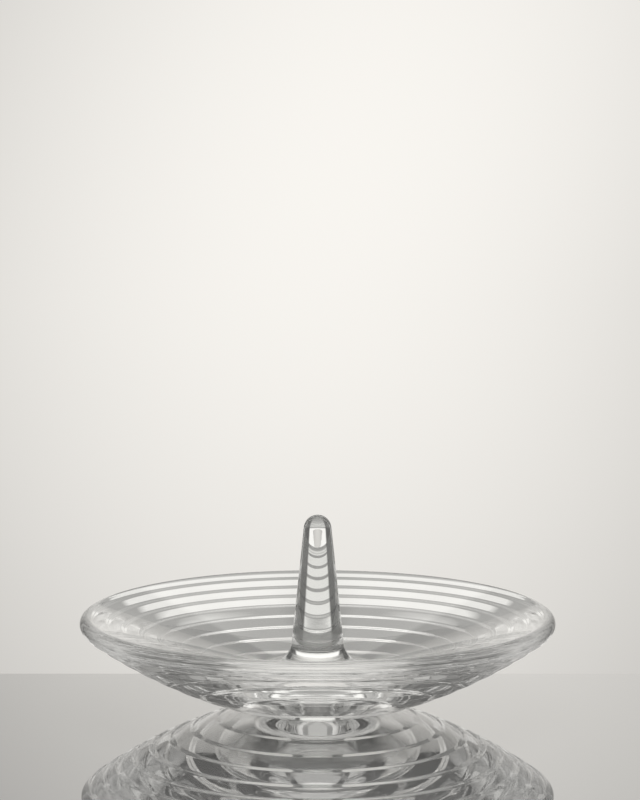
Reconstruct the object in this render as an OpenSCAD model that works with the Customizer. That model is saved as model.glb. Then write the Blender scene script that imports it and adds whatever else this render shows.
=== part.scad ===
// Ring dish of clear pressed glass: a shallow round bowl with concentric
// steps pressed into its underside, and a tapered spike that holds the rings.
// Z is up, and the origin is the middle of the foot, on the table.

/* [Bowl] */
// Diameter over the rim
rim_d = 120; // [90:1:160]
// Height of the rim above the table
rim_h = 24.3; // [20:0.1:34]
// Thickness of the wall at its rounded rim
rim_t = 4.2; // [3:0.1:6]
// Diameter at which the slope of the underside would reach the table
foot_d = 34.4; // [28:0.2:44]
// Radius of the round heel between the flat foot and the underside
heel_r = 12.6; // [4:0.1:16]
// Thickness of the floor at the middle
floor_t = 11; // [8:0.1:13]
// How far the underside bows out below a straight line from foot to rim
wall_bow = 2.05; // [0.5:0.05:3]
// Slope of the underside where it meets the rim
rim_slope = 38; // [30:0.5:46]

/* [Steps in the underside] */
// Number of steps
step_n = 8; // [2:1:9]
// Height of the lowest step above the table
step_first_h = 2.58; // [2:0.02:3.5]
// Height from the highest step up to where the underside meets the rim
step_top_gap = 0.95; // [0.8:0.05:3]
// Width of the flatter stretch in a step
step_w = 1.2; // [0.8:0.05:1.8]
// How far a step drops across its width
step_drop = 0.45; // [0.1:0.01:0.6]
// Rounding of a step's two corners
step_edge_r = 1.3; // [0.3:0.1:2]

/* [Spike] */
// Height of the spike's top above the table
spike_h = 49.4; // [40:0.1:70]
// Radius of the rounded tip
tip_r = 3.5; // [2.5:0.1:5]
// Angle between the spike's side and its axis
taper_angle = 6; // [2:0.5:10]
// Radius of the hollow curve from the spike out to the floor
flare_r = 6.1; // [3:0.1:9]
// Height of the small upright edge where that curve ends
flare_lip = 0.2; // [0.1:0.05:0.5]
// Flat floor left round the spike's foot
floor_margin = 0.3; // [0.1:0.1:2]

/* [Hidden] */
$fn = 180;
glass = [0.86, 0.89, 0.88, 0.45];

// Points along each rounded corner
arc_steps = 4;
// How deep the wall's two sides run into the round rim
rim_inset = 0.02;

// Centre of the round rim, and where the underside meets it
rim_r = rim_t / 2;
rim_core_r = rim_r - rim_inset;
rim_mid = [rim_d / 2 - rim_r, rim_h - rim_r];
rim_out = rim_mid + rim_core_r * [sin(rim_slope), -cos(rim_slope)];

// Underside: a shallow curve from the foot to the outside of the rim
foot_edge = [foot_d / 2, 0];
wall_run = rim_out - foot_edge;
wall_len = norm(wall_run);
wall_out = [wall_run[1], -wall_run[0]] / wall_len;

// The point at share s of the way along the underside's even curve
function wall_at(s) = foot_edge + s * wall_run + 4 * wall_bow * s * (1 - s) * wall_out;

// The share of the way at which that curve is at height z
bow_rise = 4 * wall_bow * wall_run[0] / wall_len;
start_rise = wall_run[1] - bow_rise;
function share_at(z) = 2 * z / (start_rise + sqrt(start_rise * start_rise + 4 * bow_rise * z));

// The two corners of the step at height z
function step_at(z) =
    let (s = share_at(z), half = step_w / 2 / wall_len)
    [wall_at(s - half) - step_drop / 2 * wall_out, wall_at(s + half) + step_drop / 2 * wall_out];

// Points of the arc of radius r that rounds the corner b between a and c
function rounded(a, b, c, r) =
    let (
        u = (a - b) / norm(a - b),
        v = (c - b) / norm(c - b),
        half = acos(u * v) / 2,
        back = min(r / tan(half), min(norm(a - b), norm(c - b)) / 2),
        fit_r = back * tan(half),
        mid = b + (u + v) / norm(u + v) * fit_r / sin(half),
        start = b + u * back - mid,
        turn = (180 - 2 * half) * sign(cross(start, b + v * back - mid))
    )
    [for (i = [0 : arc_steps])
        let (q = turn * i / arc_steps)
        mid + [start[0] * cos(q) - start[1] * sin(q), start[0] * sin(q) + start[1] * cos(q)]];

// Spike: tip, flare and the round seat that stands on the floor
tip_mid = [0, spike_h - tip_r];
side_out = [cos(taper_angle), sin(taper_angle)];
flare_z = floor_t + flare_lip + flare_r;
seat_r = (tip_r + flare_r - (flare_z - tip_mid[1]) * side_out[1]) / side_out[0];
flare_mid = [seat_r, flare_z];

// Inside of the bowl: a straight cone from the flat floor, touching the round rim
flat_r = seat_r + floor_margin;
in_run = rim_mid - [flat_r, floor_t];
in_slope = atan2(in_run[1], in_run[0]) + asin(rim_core_r / norm(in_run));
rim_in = rim_mid + rim_core_r * [-sin(in_slope), cos(in_slope)];

step_rise = (rim_out[1] - step_top_gap - step_first_h) / (step_n - 1);
step_corners = [for (i = [0 : step_n - 1]) each step_at(step_first_h + i * step_rise)];
under = [[0, 0], foot_edge, each step_corners, rim_out];
under_r = [0, heel_r, each [for (p = step_corners) step_edge_r], 0];

module dish_outline() {
    last = len(under) - 1;
    polygon([
        under[0],
        each [for (i = [1 : last - 1]) each rounded(under[i - 1], under[i], under[i + 1], under_r[i])],
        under[last],
        rim_in,
        [flat_r, floor_t],
        [0, floor_t]
    ]);
    translate(rim_mid) circle(rim_r);
}

module spike_outline() {
    difference() {
        polygon([
            [0, floor_t],
            [seat_r, floor_t],
            flare_mid,
            flare_mid - flare_r * side_out,
            tip_mid + tip_r * side_out,
            tip_mid
        ]);
        translate(flare_mid) circle(flare_r);
    }
    intersection() {
        translate(tip_mid) circle(tip_r);
        translate(tip_mid - [0, tip_r]) square([tip_r, 2 * tip_r]);
    }
}

module dish() {
    color(glass) rotate_extrude() dish_outline();
}

module spike() {
    color(glass) rotate_extrude() spike_outline();
}

dish();
spike();
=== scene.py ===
"""Looks of the ring dish: clear pressed glass standing on a glossy pale table.

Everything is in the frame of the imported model: Z is up and the origin is the
middle of the foot, on the table. Sizes are given in millimetres and turned
into metres where a mesh is made.
"""

import logging
import math
from dataclasses import dataclass, field
from enum import Enum

import bpy
import numpy as np
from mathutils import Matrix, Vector


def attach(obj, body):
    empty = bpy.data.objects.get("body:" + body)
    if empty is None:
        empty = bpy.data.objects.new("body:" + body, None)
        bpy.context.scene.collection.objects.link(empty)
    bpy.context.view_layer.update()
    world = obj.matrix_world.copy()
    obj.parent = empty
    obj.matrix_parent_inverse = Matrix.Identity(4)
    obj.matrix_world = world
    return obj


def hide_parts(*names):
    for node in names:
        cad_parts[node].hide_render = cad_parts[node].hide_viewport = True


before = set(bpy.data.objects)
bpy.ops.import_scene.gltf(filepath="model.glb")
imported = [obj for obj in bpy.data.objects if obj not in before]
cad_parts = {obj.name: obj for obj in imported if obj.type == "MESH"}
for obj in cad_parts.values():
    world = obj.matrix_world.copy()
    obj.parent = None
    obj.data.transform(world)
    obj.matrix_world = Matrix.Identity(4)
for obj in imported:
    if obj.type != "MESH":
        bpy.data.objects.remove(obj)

MM = 0.001
Point = tuple[float, float]
LOG = logging.getLogger("ring_dish")


class Zone(Enum):
    """Which stretch of the outline a point belongs to."""

    FOOT = "foot"
    UNDERSIDE = "underside"
    RIM = "rim"
    INSIDE = "inside"
    SPIKE = "spike"


@dataclass(frozen=True)
class OutlinePoint:
    """A point of the outline that is turned about the Z axis.

    Args:
        r: Distance from the axis in millimetres.
        z: Height above the table in millimetres.
        zone: The stretch of the outline that it belongs to.
    """

    r: float
    z: float
    zone: Zone


def vec(x: float, z: float) -> np.ndarray:
    """Makes a vector in the outline's plane."""
    return np.array([x, z], float)


def unit(v: np.ndarray) -> np.ndarray:
    """Scales a vector to a length of one."""
    return v / np.linalg.norm(v)


def arc(mid: np.ndarray, radius: float, start: float, end: float, count: int) -> list[np.ndarray]:
    """Points along an arc.

    Args:
        mid: Centre of the arc.
        radius: Its radius.
        start: Angle of the first point in degrees.
        end: Angle of the last point in degrees.
        count: Number of stretches between the points.

    Returns:
        The points, both ends among them.
    """
    angles = np.radians(np.linspace(start, end, count + 1))
    return [mid + radius * vec(math.cos(a), math.sin(a)) for a in angles]


def rounded(before: np.ndarray, corner: np.ndarray, after: np.ndarray, radius: float,
            count: int) -> list[np.ndarray]:
    """Rounds one corner of a line.

    Args:
        before: The point before the corner.
        corner: The corner itself.
        after: The point after the corner.
        radius: Radius asked for; it shrinks where the stretches are short.
        count: Number of stretches in the arc.

    Returns:
        The points of the arc that takes the corner's place.
    """
    back_way, on_way = unit(before - corner), unit(after - corner)
    half = math.acos(float(np.clip(back_way @ on_way, -1, 1))) / 2
    room = min(np.linalg.norm(before - corner), np.linalg.norm(after - corner)) / 2
    back = min(radius / math.tan(half), room)
    fit = back * math.tan(half)
    mid = corner + unit(back_way + on_way) * fit / math.sin(half)
    first, last = corner + back_way * back - mid, corner + on_way * back - mid
    start = math.degrees(math.atan2(first[1], first[0]))
    turn = math.degrees(math.atan2(last[1], last[0])) - start
    turn = (turn + 180) % 360 - 180
    return arc(mid, fit, start, start + turn, count)


@dataclass
class SteppedBowl:
    """The bowl: a flat foot, a stepped underside, a round rim and a conical inside."""

    rim_d: float = 120.0
    rim_h: float = 24.3
    rim_t: float = 4.2
    foot_d: float = 34.4
    heel_r: float = 12.6
    floor_t: float = 11.0
    flat_r: float = 12.96
    wall_bow: float = 2.05
    rim_slope: float = 38.0
    step_n: int = 8
    step_first_h: float = 2.58
    step_rise: float = 2.431
    step_w: float = 1.6
    step_drop: float = 0.45
    step_edge_r: float = 1.3
    ledge_w: float = 0.1
    ledge_drop: float = 0.3
    ledge_edge_r: float = 0.05

    def __post_init__(self) -> None:
        """Works out the points that the outline hangs on."""
        self.rim_r = self.rim_t / 2
        self.rim_mid = vec(self.rim_d / 2 - self.rim_r, self.rim_h - self.rim_r)
        self.foot_edge = vec(self.foot_d / 2, 0)
        slope = math.radians(self.rim_slope)
        self.rim_out = self.rim_mid + self.rim_r * vec(math.sin(slope), -math.cos(slope))
        self.run = self.rim_out - self.foot_edge
        self.length = float(np.linalg.norm(self.run))
        self.outward = vec(self.run[1], -self.run[0]) / self.length
        self.flat_edge = vec(self.flat_r, self.floor_t)
        across = self.rim_mid - self.flat_edge
        self.inside_slope = (math.atan2(across[1], across[0])
                             + math.asin(self.rim_r / float(np.linalg.norm(across))))

    def wall_at(self, s: float) -> np.ndarray:
        """Finds a point of the underside's even curve, from 0 at the foot to 1 at the rim."""
        return self.foot_edge + s * self.run + 4 * self.wall_bow * s * (1 - s) * self.outward

    def share_at(self, z: float) -> float:
        """Finds how far along the underside's even curve a height is reached.

        Args:
            z: Height above the table in millimetres.

        Returns:
            The share of the way from the foot to the rim.
        """
        k = 4 * self.wall_bow * self.run[0] / self.length
        b = self.run[1] - k
        return 2 * z / (b + math.sqrt(b * b + 4 * k * z))

    def step_corners(self, z: float) -> list[tuple[np.ndarray, float]]:
        """Lists the corners of one step and of the fine ledge in its middle.

        Args:
            z: Height of the step's middle in millimetres.

        Returns:
            Each corner with the radius that rounds it.
        """
        s = self.share_at(z)
        corners = []
        for width, drop, radius in ((-self.step_w, -self.step_drop, self.step_edge_r),
                                    (-self.ledge_w, -self.ledge_drop, self.ledge_edge_r),
                                    (self.ledge_w, self.ledge_drop, self.ledge_edge_r),
                                    (self.step_w, self.step_drop, self.step_edge_r)):
            at = self.wall_at(s + width / 2 / self.length) + drop / 2 * self.outward
            corners.append((at, radius))
        return corners

    def outline(self) -> list[OutlinePoint]:
        """The outline from the axis under the foot, round the rim and in to the flat floor.

        Returns:
            The points in order, each with its zone.
        """
        corners = [(self.foot_edge, self.heel_r)]
        for k in range(self.step_n):
            corners += self.step_corners(self.step_first_h + k * self.step_rise)
        line = [vec(0, 0), *[c for c, _ in corners], self.rim_out]
        points = [OutlinePoint(0.0, 0.0, Zone.FOOT)]
        for i, (_, radius) in enumerate(corners, 1):
            for p in rounded(line[i - 1], line[i], line[i + 1], radius, 7):
                points.append(OutlinePoint(p[0], p[1], Zone.FOOT if i == 1 else Zone.UNDERSIDE))
        for p in arc(self.rim_mid, self.rim_r, self.rim_slope - 90,
                     math.degrees(self.inside_slope) + 90, 30):
            points.append(OutlinePoint(p[0], p[1], Zone.RIM))
        return points


@dataclass
class RingSpike:
    """The tapered spike that holds the rings, with its flare down to the bowl."""

    spike_h: float = 49.4
    tip_r: float = 3.5
    taper_angle: float = 6.0
    flare_r: float = 6.1

    def outline(self, bowl: SteppedBowl) -> list[OutlinePoint]:
        """The outline from the bowl's inside up to the middle of the tip.

        Args:
            bowl: The bowl that the spike grows out of.

        Returns:
            The points in order, each with its zone.
        """
        taper = math.radians(self.taper_angle)
        side_out = vec(math.cos(taper), math.sin(taper))
        up = vec(-math.sin(bowl.inside_slope), math.cos(bowl.inside_slope))
        tip_mid = vec(0, self.spike_h - self.tip_r)
        flare_mid = np.linalg.solve(
            np.array([up, side_out]),
            np.array([self.flare_r + up @ bowl.flat_edge,
                      self.flare_r + self.tip_r + side_out @ tip_mid]))
        start = math.degrees(bowl.inside_slope) - 90
        points = [OutlinePoint(p[0], p[1], Zone.INSIDE)
                  for p in arc(flare_mid, self.flare_r, start, self.taper_angle - 180, 24)]
        points += [OutlinePoint(max(p[0], 0.0), p[1], Zone.SPIKE)
                   for p in arc(tip_mid, self.tip_r, self.taper_angle, 90, 20)]
        return points


class ShaderBench:
    """Adds and links the nodes of one node tree."""

    def __init__(self, tree: bpy.types.NodeTree) -> None:
        """Keeps the tree that the nodes go into.

        Args:
            tree: Node tree of a material, a world or a group.
        """
        self.tree = tree

    def add(self, kind: str, **settings: object) -> bpy.types.Node:
        """Adds a node.

        Args:
            kind: Blender's name for the type of node.
            settings: Values for the node's own properties.

        Returns:
            The new node.
        """
        node = self.tree.nodes.new(kind)
        for name, value in settings.items():
            setattr(node, name, value)
        return node

    def feed(self, socket: bpy.types.NodeSocket, value: object) -> None:
        """Links an output to a socket, or sets the socket's own value.

        Args:
            socket: The input that is fed.
            value: An output of another node, or a plain value.
        """
        if isinstance(value, bpy.types.NodeSocket):
            self.tree.links.new(value, socket)
        else:
            socket.default_value = value

    def math(self, operation: str, *values: object) -> bpy.types.NodeSocket:
        """Adds a Math node.

        Args:
            operation: Blender's name for the operation.
            values: Outputs or plain numbers for the node's inputs, in order.

        Returns:
            The node's output.
        """
        node = self.add("ShaderNodeMath", operation=operation)
        for socket, value in zip(node.inputs, values):
            self.feed(socket, value)
        return node.outputs[0]

    def ramp(self, value: bpy.types.NodeSocket, stops: list[tuple[float, float]]) -> bpy.types.NodeSocket:
        """Adds a grey ramp.

        Args:
            value: What the ramp reads, from 0 to 1.
            stops: Position and grey value of each stop.

        Returns:
            The ramp's colour output.
        """
        node = self.add("ShaderNodeValToRGB")
        elements = node.color_ramp.elements
        elements.remove(elements[-1])
        for i, (at, grey) in enumerate(stops):
            stop = elements[0] if i == 0 else elements.new(at)
            stop.position = at
            stop.color = (grey, grey, grey, 1)
        self.feed(node.inputs["Fac"], value)
        return node.outputs["Color"]


def turned_ripple() -> bpy.types.NodeTree:
    """A node group of faint ripples that run round the Z axis, as a mould and a buff leave them.

    Returns:
        The group, with Height and Haze as its outputs, both from 0 to 1.
    """
    group = bpy.data.node_groups.new("turned_ripple", "ShaderNodeTree")
    for name, value in (("Round Scale", 4.0), ("Across Scale", 300.0), ("Haze Scale", 60.0)):
        socket = group.interface.new_socket(name, in_out="INPUT", socket_type="NodeSocketFloat")
        socket.default_value = value
    for name in ("Height", "Haze"):
        group.interface.new_socket(name, in_out="OUTPUT", socket_type="NodeSocketFloat")
    bench = ShaderBench(group)
    given = bench.add("NodeGroupInput")
    made = bench.add("NodeGroupOutput")
    place = bench.add("ShaderNodeTexCoord")
    parts = bench.add("ShaderNodeSeparateXYZ")
    bench.feed(parts.inputs[0], place.outputs["Object"])
    x, y, z = parts.outputs
    reach = bench.math("SQRT", bench.math("ADD", bench.math("MULTIPLY", x, x),
                                          bench.math("MULTIPLY", y, y)))
    safe = bench.math("MAXIMUM", reach, 1e-5)
    turned = bench.add("ShaderNodeCombineXYZ")
    for socket, part in zip(turned.inputs, (x, y)):
        bench.feed(socket, bench.math("MULTIPLY", bench.math("DIVIDE", part, safe),
                                      given.outputs["Round Scale"]))
    bench.feed(turned.inputs[2], bench.math(
        "MULTIPLY", bench.math("ADD", reach, z), given.outputs["Across Scale"]))
    ripple = bench.add("ShaderNodeTexNoise")
    bench.feed(ripple.inputs["Vector"], turned.outputs[0])
    bench.feed(ripple.inputs["Scale"], 1.0)
    bench.feed(ripple.inputs["Detail"], 3.0)
    bench.feed(made.inputs["Height"], ripple.outputs["Fac"])
    haze = bench.add("ShaderNodeTexNoise")
    bench.feed(haze.inputs["Vector"], place.outputs["Object"])
    bench.feed(haze.inputs["Scale"], given.outputs["Haze Scale"])
    bench.feed(haze.inputs["Detail"], 4.0)
    bench.feed(made.inputs["Haze"], haze.outputs["Fac"])
    return group


@dataclass(frozen=True)
class PressedGlass:
    """Clear pressed glass, fire polished, with the faint ripple that the mould leaves."""

    name: str = "pressed_glass"
    tint: tuple[float, float, float] = (0.985, 0.99, 0.985)
    ior: float = 1.51
    haze_low: float = 0.0
    haze_high: float = 0.02
    ripple_mm: float = 0.004

    def material(self, ripple: bpy.types.NodeTree) -> bpy.types.Material:
        """Makes the material.

        Args:
            ripple: The shared group of faint ripples.

        Returns:
            The glass as a Blender material.
        """
        made = bpy.data.materials.new(self.name)
        made.use_nodes = True
        bench = ShaderBench(made.node_tree)
        glass = made.node_tree.nodes["Principled BSDF"]
        bench.feed(glass.inputs["Base Color"], (*self.tint, 1.0))
        bench.feed(glass.inputs["IOR"], self.ior)
        bench.feed(glass.inputs["Transmission Weight"], 1.0)
        bench.feed(glass.inputs["Metallic"], 0.0)
        surface = bench.add("ShaderNodeGroup", node_tree=ripple)
        haze = bench.add("ShaderNodeMapRange")
        bench.feed(haze.inputs["Value"], surface.outputs["Haze"])
        bench.feed(haze.inputs["From Min"], 0.45)
        bench.feed(haze.inputs["From Max"], 0.8)
        bench.feed(haze.inputs["To Min"], self.haze_low)
        bench.feed(haze.inputs["To Max"], self.haze_high)
        bench.feed(glass.inputs["Roughness"], haze.outputs[0])
        bump = bench.add("ShaderNodeBump")
        bench.feed(bump.inputs["Strength"], 1.0)
        bench.feed(bump.inputs["Distance"], self.ripple_mm * MM)
        bench.feed(bump.inputs["Height"], surface.outputs["Height"])
        bench.feed(glass.inputs["Normal"], bump.outputs["Normal"])
        return made


@dataclass(frozen=True)
class LacquerTop:
    """Pale lacquer on the table: almost matt from above and a mirror at a low angle. Its matt grey
    darkens towards a grazing view as painted shade, on top of the share that the mirror takes.
    """

    name: str = "pale_lacquer"
    facing_grey: float = 0.78
    # Matt grey seen at a grazing view, darkened as painted shade.
    painted_grazing_shade_grey: float = 0.08
    mirror_low: float = 0.04
    mirror_gain: float = 1.42
    mirror_power: float = 3.0

    def material(self) -> bpy.types.Material:
        """Makes the material.

        Returns:
            The lacquer as a Blender material.
        """
        made = bpy.data.materials.new(self.name)
        made.use_nodes = True
        made.node_tree.nodes.clear()
        bench = ShaderBench(made.node_tree)
        weight = bench.add("ShaderNodeLayerWeight")
        bench.feed(weight.inputs["Blend"], 0.5)
        facing = weight.outputs["Facing"]
        share = bench.math("MINIMUM", bench.math(
            "MULTIPLY_ADD", bench.math("POWER", facing, self.mirror_power),
            self.mirror_gain, self.mirror_low), 0.95)
        # Painted shade: the matt grey falls from facing_grey towards a grazing view, beyond what the
        # mirror's share already takes.
        grey = bench.math("MULTIPLY_ADD", bench.math("POWER", facing, 2.0),
                          (self.painted_grazing_shade_grey - self.facing_grey) / 0.6, self.facing_grey)
        grey = bench.math("MAXIMUM", grey, 0.02)
        colour = bench.add("ShaderNodeCombineColor")
        for socket in colour.inputs[:3]:
            bench.feed(socket, grey)
        matt = bench.add("ShaderNodeBsdfDiffuse")
        bench.feed(matt.inputs["Color"], colour.outputs[0])
        mirror = bench.add("ShaderNodeBsdfGlossy")
        bench.feed(mirror.inputs["Color"], (1.0, 1.0, 1.0, 1.0))
        bench.feed(mirror.inputs["Roughness"], 0.0)
        both = bench.add("ShaderNodeMixShader")
        bench.feed(both.inputs[0], share)
        bench.feed(both.inputs[1], matt.outputs[0])
        bench.feed(both.inputs[2], mirror.outputs[0])
        bench.feed(bench.add("ShaderNodeOutputMaterial").inputs["Surface"], both.outputs[0])
        return made


@dataclass
class RingDish:
    """The whole dish as the single lump of glass that the mould makes of bowl and spike."""

    bowl: SteppedBowl = field(default_factory=SteppedBowl)
    spike: RingSpike = field(default_factory=RingSpike)
    segments: int = 448
    row_gap: float = 0.4
    wobble_underside: float = 0.006
    wobble_inside: float = 0.004

    def outline(self) -> list[OutlinePoint]:
        """Joins the outlines of bowl and spike and divides long stretches into short rows.

        Returns:
            The rows in order, from the axis under the foot to the middle of the tip.
        """
        corners = self.bowl.outline() + self.spike.outline(self.bowl)
        rows = [corners[0]]
        for a, b in zip(corners, corners[1:]):
            gap = math.hypot(b.r - a.r, b.z - a.z)
            if gap < 1e-6:
                continue
            count = max(1, math.ceil(gap / self.row_gap))
            for k in range(1, count + 1):
                t = k / count
                rows.append(OutlinePoint(a.r + (b.r - a.r) * t, a.z + (b.z - a.z) * t,
                                         b.zone if k == count or b.zone is not Zone.RIM else a.zone))
        return rows

    def wobble(self, row: OutlinePoint, angles: np.ndarray) -> np.ndarray:
        """How far the real surface strays from the turned one, as a hand-finished mould does.

        Args:
            row: The row of the outline.
            angles: Angles round the axis in radians.

        Returns:
            The stray at each angle in millimetres, outwards from the wall.
        """
        size = {Zone.UNDERSIDE: self.wobble_underside, Zone.INSIDE: self.wobble_inside}.get(row.zone, 0.0)
        if not size:
            return np.zeros_like(angles)
        fade = min(1.0, row.z / 3.0, max(0.0, (self.bowl.rim_d / 2 - 2.0 - row.r) / 4.0))
        stray = np.zeros_like(angles)
        for count, share, drift in ((2, 0.5, 0.11), (3, 0.4, -0.23), (5, 0.35, 0.31),
                                    (8, 0.25, -0.47), (13, 0.15, 0.7)):
            stray += share * np.sin(count * angles + count * 1.7 + drift * row.r)
        return stray * size * max(fade, 0.0)

    def build(self) -> bpy.types.Object:
        """Turns the outline about the Z axis into one closed mesh.

        Returns:
            The dish as a Blender object.
        """
        angles = np.linspace(0, 2 * math.pi, self.segments, endpoint=False)
        across, along = np.cos(angles), np.sin(angles)
        points: list[np.ndarray] = []
        rings: list[np.ndarray] = []
        total = 0
        for row in self.outline():
            if row.r < 1e-6:
                points.append(np.array([[0, 0, row.z]]))
                rings.append(np.array([total]))
                total += 1
                continue
            stray = self.wobble(row, angles)
            reach = row.r + stray * self.bowl.outward[0]
            height = row.z + stray * self.bowl.outward[1]
            points.append(np.stack([reach * across, reach * along, height], axis=1))
            rings.append(np.arange(total, total + self.segments))
            total += self.segments
        faces: list[tuple[int, ...]] = []
        for low, high in zip(rings, rings[1:]):
            for i in range(self.segments):
                j = (i + 1) % self.segments
                if len(low) == 1:
                    faces.append((int(low[0]), int(high[j]), int(high[i])))
                elif len(high) == 1:
                    faces.append((int(low[i]), int(low[j]), int(high[0])))
                else:
                    faces.append((int(low[i]), int(low[j]), int(high[j]), int(high[i])))
        mesh = bpy.data.meshes.new("ring_dish_glass")
        mesh.from_pydata((np.concatenate(points) * MM).tolist(), [], faces)
        mesh.update()
        mesh.polygons.foreach_set("use_smooth", [True] * len(mesh.polygons))
        piece = bpy.data.objects.new("ring_dish_glass", mesh)
        bpy.context.scene.collection.objects.link(piece)
        return piece

    def dress(self, piece: bpy.types.Object, glass: bpy.types.Material) -> None:
        """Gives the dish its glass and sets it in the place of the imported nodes.

        Args:
            piece: The dish as a Blender object.
            glass: The material that it is made of.
        """
        piece.data.materials.append(glass)
        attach(piece, "root")
        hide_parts("dish", "spike")


@dataclass
class Studio:
    """The plain studio: a glossy pale table, a bright backdrop, a soft room and one lamp."""

    table_back: float = 39.0
    table_side: float = 1500.0
    table_front: float = 2500.0
    table_deep: float = 12.0
    backdrop_y: float = 1000.0
    backdrop_half: float = 470.0
    backdrop_low: float = -262.0
    backdrop_top: float = 340.0
    glow_mid: float = 80.0
    glow_wide: float = 300.0
    glow_tall: float = 430.0
    glow_peak: float = 0.94
    glow_lean: float = 0.22
    glow_tint: tuple[float, float, float] = (1.0, 0.975, 0.93)
    room_tint: tuple[float, float, float] = (1.0, 0.985, 0.95)
    ahead: tuple[Point, ...] = ((-60, 0.3), (-44, 0.4), (-36, 0.85), (-30, 0.9), (-29, 0.33),
                                (-24.5, 0.33), (-21, 0.47), (-19.2, 0.5), (-18.6, 1.0), (-14, 1.0),
                                (-13, 0.55), (29, 0.55), (31, 1.15), (43, 1.15), (45, 0.1),
                                (51, 0.1), (55, 0.7))
    flank: tuple[Point, ...] = ((-50, 0.13), (-26, 0.12), (-24, 0.04), (-18, 0.1), (-2, 0.07),
                                (8, 0.18), (16, 0.28), (24, 0.07), (50, 0.12), (60, 0.5))
    side: tuple[Point, ...] = ((-50, 0.35), (-20, 0.35), (-4, 0.45), (2, 0.7), (16, 0.8),
                               (25, 0.4), (30, 0.2), (60, 0.4), (75, 0.7))
    behind: tuple[Point, ...] = ((-60, 0.4), (-8, 0.45), (18, 0.55), (24, 1.0), (48, 1.0),
                                 (54, 0.4))
    sector_edges: tuple[Point, ...] = ((24, 28), (55, 62), (105, 115))
    lamp_height: float = 900.0
    lamp_size: float = 700.0
    lamp_watts: float = 4.5

    def slab(self, name: str, low: tuple[float, float, float],
             high: tuple[float, float, float]) -> bpy.types.Object:
        """Makes a closed slab of the stage.

        Args:
            name: Name of the object.
            low: Its lowest corner in millimetres.
            high: Its highest corner in millimetres.

        Returns:
            The slab as a Blender object.
        """
        (x0, y0, z0), (x1, y1, z1) = low, high
        corners = [(x * MM, y * MM, z * MM) for z in (z0, z1)
                   for x, y in ((x0, y0), (x1, y0), (x1, y1), (x0, y1))]
        faces = [(3, 2, 1, 0), (4, 5, 6, 7), (0, 1, 5, 4), (1, 2, 6, 5), (2, 3, 7, 6), (3, 0, 4, 7)]
        mesh = bpy.data.meshes.new(name)
        mesh.from_pydata(corners, [], faces)
        mesh.update()
        made = bpy.data.objects.new(name, mesh)
        bpy.context.scene.collection.objects.link(made)
        return made

    def build_table(self, top: bpy.types.Material) -> bpy.types.Object:
        """Sets the table under the dish, its far edge close behind the foot.

        Args:
            top: The material of its surface.

        Returns:
            The table as a Blender object.
        """
        table = self.slab("table", (-self.table_side, -self.table_front, -self.table_deep),
                          (self.table_side, self.table_back, -0.02))
        table.data.materials.append(top)
        return table

    def build_backdrop(self) -> bpy.types.Object:
        """Hangs the bright backdrop, which glows by itself and fades out towards its edges; this pool of
        light is painted into its emission.

        Returns:
            The backdrop as a Blender object.
        """
        mesh = bpy.data.meshes.new("backdrop")
        half, low, top, y = (v * MM for v in (self.backdrop_half, self.backdrop_low,
                                              self.backdrop_top, self.backdrop_y))
        mesh.from_pydata([(-half, y, low), (half, y, low), (half, y, top), (-half, y, top)],
                         [], [(0, 1, 2, 3)])
        made = bpy.data.objects.new("backdrop", mesh)
        bpy.context.scene.collection.objects.link(made)
        glow_paint = bpy.data.materials.new("backdrop_painted_glow")
        glow_paint.use_nodes = True
        glow_paint.node_tree.nodes.clear()
        bench = ShaderBench(glow_paint.node_tree)
        parts = bench.add("ShaderNodeSeparateXYZ")
        bench.feed(parts.inputs[0], bench.add("ShaderNodeNewGeometry").outputs["Position"])
        # Painted pool of light: the emission is brightest round glow_mid, fades towards the edges and
        # leans sideways with height.
        lean = bench.math("MULTIPLY", bench.math("MAXIMUM", parts.outputs[2], 0.0), -self.glow_lean)
        wide = bench.math("DIVIDE", bench.math("ADD", parts.outputs[0], lean), self.glow_wide * MM)
        tall = bench.math("DIVIDE", bench.math("SUBTRACT", parts.outputs[2], self.glow_mid * MM),
                          self.glow_tall * MM)
        spread = bench.math("ADD", bench.math("MULTIPLY", wide, wide),
                            bench.math("MULTIPLY", tall, tall))
        glow = bench.math("MULTIPLY", bench.math("EXPONENT", bench.math("MULTIPLY", spread, -0.5)),
                          self.glow_peak)
        light = bench.add("ShaderNodeEmission")
        bench.feed(light.inputs["Color"], (*self.glow_tint, 1.0))
        bench.feed(light.inputs["Strength"], glow)
        bench.feed(bench.add("ShaderNodeOutputMaterial").inputs["Surface"], light.outputs[0])
        mesh.materials.append(glow_paint)
        return made

    def build_room(self) -> None:
        """Lights the rest of the room by four sectors: ahead, at the flanks, at the sides, behind."""
        world = bpy.data.worlds.new("room")
        bpy.context.scene.world = world
        world.use_nodes = True
        world.node_tree.nodes.clear()
        bench = ShaderBench(world.node_tree)
        parts = bench.add("ShaderNodeSeparateXYZ")
        bench.feed(parts.inputs[0], bench.add("ShaderNodeTexCoord").outputs["Generated"])
        x, y, z = parts.outputs
        height = bench.math("MULTIPLY_ADD", z, 0.5, 0.5)
        turn = bench.math("DIVIDE", bench.math("ARCTAN2", bench.math("ABSOLUTE", x), y), math.pi)

        def level(stops: tuple[Point, ...]) -> bpy.types.NodeSocket:
            """Gives the grey of one sector by elevation, from stops of degrees and grey."""
            return bench.ramp(height, [((math.sin(math.radians(a)) + 1) / 2, v) for a, v in stops])

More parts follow.
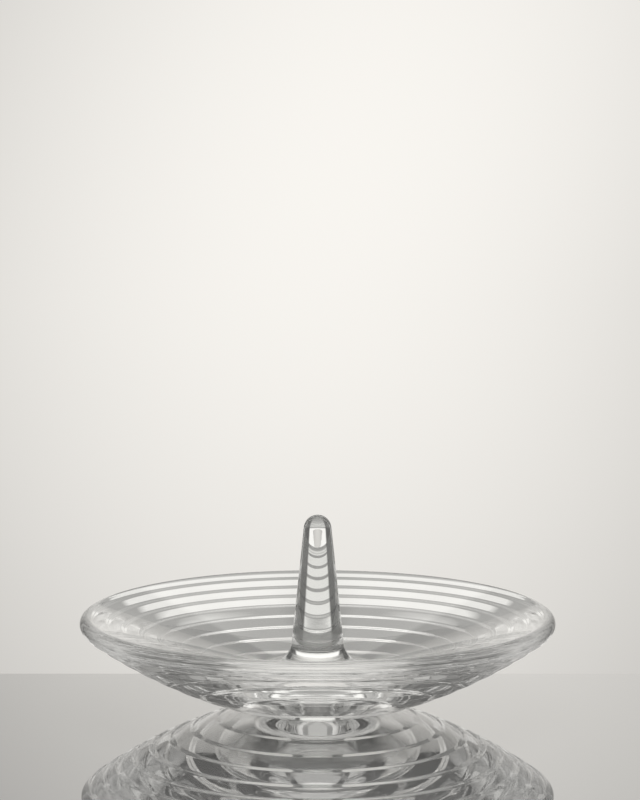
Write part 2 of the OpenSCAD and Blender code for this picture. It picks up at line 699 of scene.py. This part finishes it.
        sectors = (self.ahead, self.flank, self.side, self.behind)
        made = level(sectors[0])
        for (start, end), stops in zip(self.sector_edges, sectors[1:]):
            mix = bench.add("ShaderNodeMix", data_type="RGBA")
            bench.feed(mix.inputs["Factor"], bench.ramp(turn, [(start / 180, 0.0), (end / 180, 1.0)]))
            bench.feed(mix.inputs["A"], made)
            bench.feed(mix.inputs["B"], level(stops))
            made = mix.outputs["Result"]
        air = bench.add("ShaderNodeBackground")
        tint = bench.add("ShaderNodeMix", data_type="RGBA", blend_type="MULTIPLY")
        bench.feed(tint.inputs["Factor"], 1.0)
        bench.feed(tint.inputs["A"], made)
        bench.feed(tint.inputs["B"], (*self.room_tint, 1.0))
        bench.feed(air.inputs["Color"], tint.outputs["Result"])
        bench.feed(air.inputs["Strength"], 1.0)
        bench.feed(bench.add("ShaderNodeOutputWorld").inputs["Surface"], air.outputs[0])

    def hang_lamp(self) -> bpy.types.Object:
        """Hangs one broad lamp that lights matt surfaces and stays out of the glass.

        Returns:
            The lamp as a Blender object.
        """
        light = bpy.data.lights.new("soft_lamp", "AREA")
        light.shape = "DISK"
        light.size = self.lamp_size * MM
        light.energy = self.lamp_watts
        lamp = bpy.data.objects.new("soft_lamp", light)
        lamp.location = (0, 0, self.lamp_height * MM)
        for ray in ("camera", "glossy", "transmission"):
            setattr(lamp, f"visible_{ray}", False)
        bpy.context.scene.collection.objects.link(lamp)
        return lamp


@dataclass
class Eye:
    """The camera, given by where the middle of the foot falls in a picture of 640 by 800."""

    wide: int = 640
    high: int = 800
    focal: float = 3300.0
    pitch: float = 7.7
    away: float = 837.0
    foot_at: Point = (317.6, 706.8)
    sensor: float = 36.0

    def build(self) -> bpy.types.Object:
        """Sets up the camera.

        Returns:
            The camera, which becomes the scene's own.
        """
        data = bpy.data.cameras.new("eye")
        data.sensor_width = self.sensor
        data.lens = self.sensor * self.focal / self.high
        data.clip_start, data.clip_end = 0.01, 100
        made = bpy.data.objects.new("eye", data)
        bpy.context.scene.collection.objects.link(made)
        tilt = math.radians(self.pitch)
        right = (self.foot_at[0] - self.wide / 2) / self.focal
        up = -(self.foot_at[1] - self.high / 2) / self.focal
        ray = Vector((right, math.cos(tilt) + up * math.sin(tilt), -math.sin(tilt) + up * math.cos(tilt)))
        made.location = -ray * self.away * MM
        made.rotation_euler = (math.pi / 2 - tilt, 0, 0)
        bpy.context.scene.camera = made
        return made


def set_up_render() -> None:
    """Keeps colours as they are written and lets light pass many walls of glass."""
    scene = bpy.context.scene
    scene.view_settings.view_transform = "Standard"
    scene.cycles.max_bounces = 32
    scene.cycles.transmission_bounces = 32
    scene.cycles.glossy_bounces = 32


def main() -> None:
    """Builds the dish and the studio and reports each piece."""
    logging.basicConfig(level=logging.INFO, format="%(message)s")
    LOG.info("packed nodes: %s", ", ".join(str(n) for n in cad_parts))
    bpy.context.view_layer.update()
    eye = Eye().build()
    LOG.info("camera %s", eye.name)
    ripple = turned_ripple()
    dish = RingDish()
    piece = dish.build()
    dish.dress(piece, PressedGlass().material(ripple))
    LOG.info("%s: %d faces", piece.name, len(piece.data.polygons))
    studio = Studio()
    for made in (studio.build_table(LacquerTop().material()), studio.build_backdrop(),
                 studio.hang_lamp()):
        LOG.info("stage %s", made.name)
    studio.build_room()
    set_up_render()


if __name__ == "__main__":
    main()
